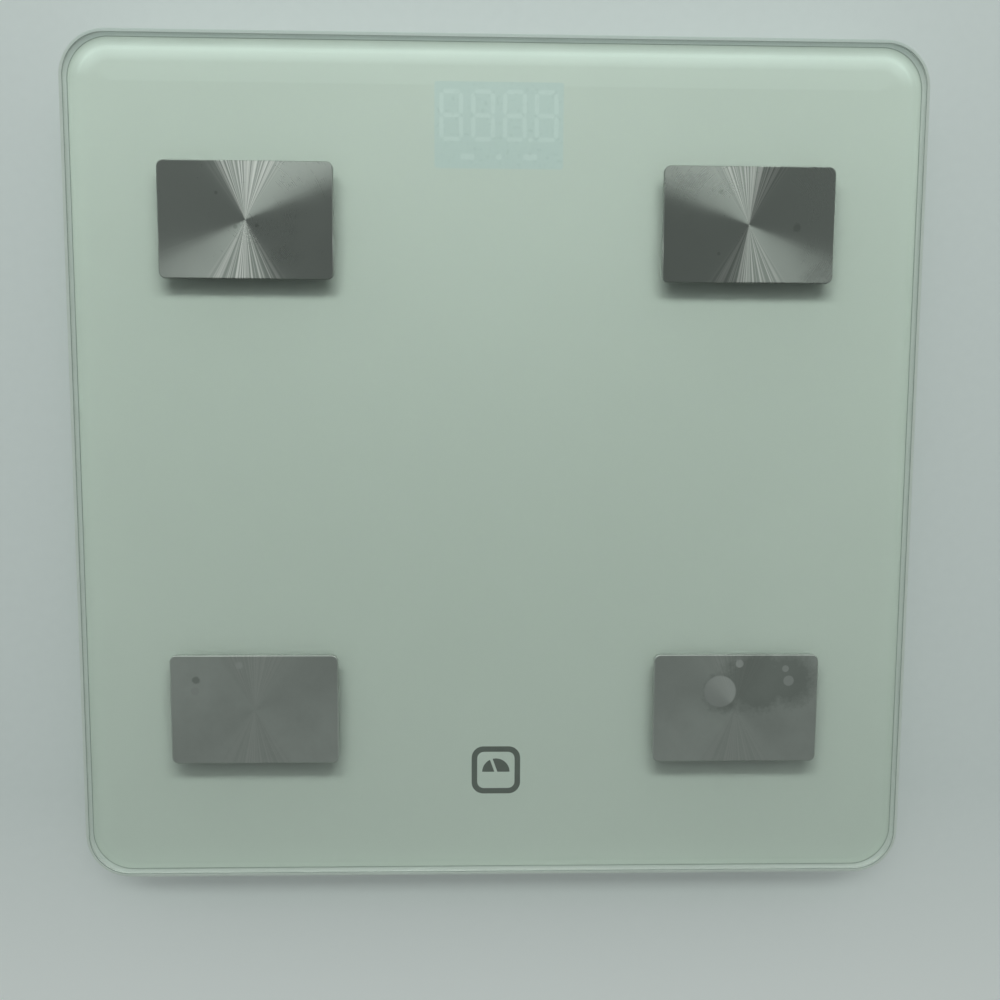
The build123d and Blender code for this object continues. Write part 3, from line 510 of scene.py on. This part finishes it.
def make_materials():
    """One material for each of the record's slots, apart from the electrodes' own."""
    return {
        "clear_glass": clear_glass(),
        "white_ink": white_print(),
        "display_film": printed_ink("display_film", (0.52, 0.61, 0.59), 0.02, 0.3),
        "display_segment": printed_ink("display_segment", (0.57, 0.655, 0.635), 0.01, 0.3),
        "dark_ink": printed_ink("dark_ink", (0.10, 0.115, 0.10), 0.05),
        "foam_tape": moulded_plastic("foam_tape", (0.72, 0.73, 0.70), 0.7, 500),
        "tray_plastic": moulded_plastic("tray_plastic", (0.74, 0.76, 0.74)),
        "blank_label": moulded_plastic("blank_label", (0.52, 0.54, 0.55), 0.35, 900, 0.00001),
        "circuit_board": moulded_plastic("circuit_board", (0.02, 0.16, 0.07), 0.3, 300, 0.00002),
        "screw_steel": plated_metal("screw_steel", (0.62, 0.62, 0.63)),
        "black_plastic": moulded_plastic("black_plastic", (0.03, 0.03, 0.032), 0.45),
        "black_foam": moulded_plastic("black_foam", (0.02, 0.02, 0.02), 0.9, 300, 0.0002),
        "shield_metal": plated_metal("shield_metal", (0.72, 0.73, 0.74), 0.3),
        "button_plastic": moulded_plastic("button_plastic", (0.17, 0.18, 0.19), 0.45),
        "contact_metal": plated_metal("contact_metal", (0.70, 0.68, 0.62)),
        "red_wire": moulded_plastic("red_wire", (0.45, 0.02, 0.015), 0.4, 300, 0.00001),
        "black_wire": moulded_plastic("black_wire", (0.02, 0.02, 0.02), 0.4, 300, 0.00001),
        "white_wire": moulded_plastic("white_wire", (0.75, 0.75, 0.72), 0.4, 300, 0.00001),
        "white_silicone": moulded_plastic("white_silicone", (0.80, 0.80, 0.77), 0.5, 200, 0.0001),
        "cell_steel": plated_metal("cell_steel", (0.55, 0.56, 0.57), 0.35),
        "cell_wrap": moulded_plastic("cell_wrap", (0.05, 0.07, 0.12), 0.25, 200, 0.00001),
        "foot_plastic": moulded_plastic("foot_plastic", (0.70, 0.72, 0.70)),
        "foot_rubber": foot_rubber(),
    }


def stand_in(piece, node, face, edge):
    """Show a finer slab in place of a CAD node of the root body."""
    piece.data.materials.append(face)
    piece.data.materials.append(edge)
    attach(piece, "root")
    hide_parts(node)


def stud_holes():
    centres = [(sum(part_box(f"electrode_{corner}"), Vector()) / 2).xy for corner in CORNERS]
    return [circle_outline(STUD_HOLE_RADIUS, centre) for centre in centres]


def make_glass(face, edge):
    low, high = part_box("glass_platform")
    underside = low.z + INK_CLEARANCE
    glass = slab("glass_slab", high.x, PLATE_CORNER, underside, high.z, GLASS_EDGE_ROUND, stud_holes())
    stand_in(glass, "glass_platform", face, edge)


def make_back_print(material):
    """The white print, whole behind the printed mark and open at the display window."""
    low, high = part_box("white_back_print")
    window_low, window_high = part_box("display_window_film")
    middle = (window_low + window_high) / 2
    half = (window_high - window_low) / 2
    window = rounded_outline(half.x, half.y, WINDOW_CORNER, middle.xy)
    corner = PLATE_CORNER - GLASS_EDGE_ROUND
    sheet = slab(
        "back_print", high.x, corner, low.z, high.z - MARK_PROUD, holes=[window] + stud_holes()
    )
    stand_in(sheet, "white_back_print", material, material)


def dress_nodes(materials):
    for name, node in nodes.items():
        slot = slot_of[name]
        if slot == "electrode_steel":
            low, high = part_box(name)
            material = turned_steel(name.removeprefix("electrode_"), (low + high) / 2)
        else:
            material = materials[slot]
        node.data.materials.clear()
        node.data.materials.append(material)


# ---- floor, light and room -----------------------------------------------------------
FLOOR_HALF = 2.0
FLOOR_PAPER = (0.78, 0.83, 0.82)
FLOOR_DARKER = (0.75, 0.80, 0.79)
FLOOR_PAINTED_LIGHT = (0.95, 0.98, 0.97)
FLOOR_PAINTED_LIGHT_REACH = (-0.19, -0.11)  # where painted light pales the paper, in front of the scale


def make_floor():
    half = FLOOR_HALF
    mesh = bpy.data.meshes.new("floor")
    corners = [(-half, -half, 0), (half, -half, 0), (half, half, 0), (-half, half, 0)]
    mesh.from_pydata(corners, [], [(0, 1, 2, 3)])
    floor = bpy.data.objects.new("floor", mesh)
    bpy.context.scene.collection.objects.link(floor)
    m = Tree("floor_paper")       # unseen from below, so that the underside can be looked at
    grain = m.noise(300, 3)
    shade = m.mix(grain, FLOOR_DARKER, FLOOR_PAPER)
    # painted light: the paper is paler in front of the scale, where light from the front falls
    front_light = m.remap(m.component(m.coordinates, "Y"), *FLOOR_PAINTED_LIGHT_REACH, 1.0, 0.0)
    shade = m.mix(front_light, shade, FLOOR_PAINTED_LIGHT)
    shader = m.principled(Base_Color=shade, Roughness=0.75, Normal=m.bump(grain, 0.1, 0.0001))
    beneath = m.add("ShaderNodeNewGeometry").outputs["Backfacing"]
    shadow = m.add("ShaderNodeLightPath").outputs["Is Shadow Ray"]
    mix = m.add("ShaderNodeMixShader")
    m.link(m.math("MAXIMUM", beneath, shadow), mix.inputs[0])
    m.link(shader.outputs[0], mix.inputs[1])
    m.link(m.add("ShaderNodeBsdfTransparent").outputs[0], mix.inputs[2])
    mesh.materials.append(m.finish(mix.outputs[0]))


def area_light(name, place, aim, size, watts, tint):
    data = bpy.data.lights.new(name, "AREA")
    data.shape = "RECTANGLE"
    data.size, data.size_y = size
    data.energy = watts
    data.color = tint
    lamp = bpy.data.objects.new(name, data)
    lamp.location = place
    lamp.rotation_mode = "QUATERNION"
    lamp.rotation_quaternion = (Vector(aim) - Vector(place)).to_track_quat("-Z", "Y")
    bpy.context.scene.collection.objects.link(lamp)


DAYLIGHT = (0.94, 1.0, 0.97)
WINDOW_PLACE = (-0.02, 0.47, 0.634)
WINDOW_AIM = (-0.02, 0.0, 0.0)
WINDOW_SIZE = (0.67, 0.12)
WINDOW_WATTS = 1.75
ROOM_OVERHEAD = 0.055         # brightness of the room straight above the scale
ROOM_NEAR = 0.22              # and low down all round it, from the side that the user stands at
ROOM_FAR = 0.78               # to the window's side
ROOM_BELOW = 0.55             # under the floor, which lets it up on to the underside
ROOM_DARK_LEAN = 0.10         # how far the dark part of the ceiling leans to the display end


def make_room():
    """A room that is dark overhead, where the user leans in, and brightest towards the window."""
    world = bpy.data.worlds.new("room")
    world.use_nodes = True
    tree = world.node_tree

    def add(kind, inputs, **settings):
        node = tree.nodes.new(kind)
        for key, value in settings.items():
            setattr(node, key, value)
        for index, value in enumerate(inputs):
            if isinstance(value, bpy.types.NodeSocket):
                tree.links.new(value, node.inputs[index])
            else:
                node.inputs[index].default_value = value
        return node.outputs

    direction = add("ShaderNodeTexCoord", ())["Generated"]
    lean = add("ShaderNodeVectorMath", (direction, (0.0, ROOM_DARK_LEAN, 0.0)), operation="SUBTRACT")[0]
    flat = add("ShaderNodeVectorMath", (lean, (1.0, 1.0, 0.0)), operation="MULTIPLY")[0]
    spread = add("ShaderNodeVectorMath", (flat,), operation="LENGTH")["Value"]
    parts = add("ShaderNodeSeparateXYZ", (direction,))
    toward = parts["Y"]
    around = add("ShaderNodeMapRange", (toward, -0.7, 0.9, ROOM_NEAR, ROOM_FAR))["Result"]
    ramp = (spread, 0.25, 0.55, ROOM_OVERHEAD, around)
    strength = add("ShaderNodeMapRange", ramp, interpolation_type="SMOOTHSTEP")["Result"]
    below = add("ShaderNodeMapRange", (parts["Z"], -0.25, -0.05, ROOM_BELOW, 0.0))["Result"]
    strength = add("ShaderNodeMath", (strength, below), operation="MAXIMUM")[0]
    background = tree.nodes["Background"]
    background.inputs["Color"].default_value = (0.93, 1.0, 0.975, 1.0)
    tree.links.new(strength, background.inputs["Strength"])
    bpy.context.scene.world = world


def make_lights():
    area_light("window_light", WINDOW_PLACE, WINDOW_AIM, WINDOW_SIZE, WINDOW_WATTS, DAYLIGHT)
    make_room()


make_camera()
finishes = make_materials()
dress_nodes(finishes)
make_glass(finishes["clear_glass"], ground_edge())
make_back_print(finishes["white_ink"])
make_floor()
make_lights()
bpy.context.scene.view_settings.view_transform = "Standard"
